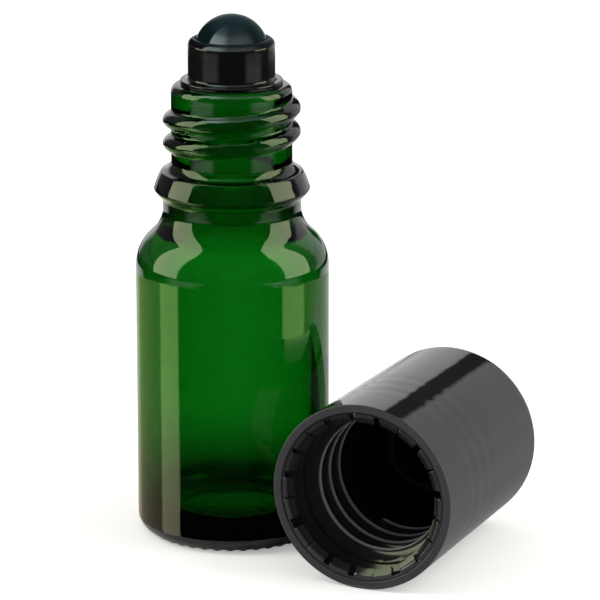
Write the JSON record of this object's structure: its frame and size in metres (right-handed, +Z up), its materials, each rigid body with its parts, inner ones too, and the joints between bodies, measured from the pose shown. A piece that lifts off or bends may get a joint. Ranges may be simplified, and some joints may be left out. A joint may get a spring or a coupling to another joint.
{
  "type": "roll on bottle",
  "caption": "Small round glass bottle with a threaded neck, a roller ball held in a snap-in housing, and a tall screw cap lying beside it.",
  "frame": {"origin": "on the table, under the middle of the glass base", "axes": "+Z up along the bottle's axis; +X from the bottle towards the cap that lies beside it; the cap's axis runs along Y with its mouth towards -Y"},
  "size_m": [0.0487, 0.0316, 0.0674],
  "materials": {
    "green_glass": "clear bottle-green glass, smooth",
    "black_plastic": "glossy moulded black",
    "natural_plastic": "undyed, slightly translucent",
    "dark_ball": "polished dark"
  },
  "bodies": {
    "bottle": {"glass_bottle": "green_glass", "neck_plug": "natural_plastic", "roller_housing": "black_plastic"},
    "ball": {"roller_ball": "dark_ball"},
    "cap": {"cap": "black_plastic", "flap_ring": "black_plastic"}
  },
  "joints": [
    {"name": "ball_roll", "type": "hinge", "parent": "bottle", "child": "ball", "pos_m": [0, 0, 0.0626], "axis": [1, 0, 0], "continuous": true},
    {"name": "cap_lift", "type": "slide", "parent": "bottle", "child": "cap", "axis": [0, 0, 1], "range_m": [0, 0.06]}
  ]
}
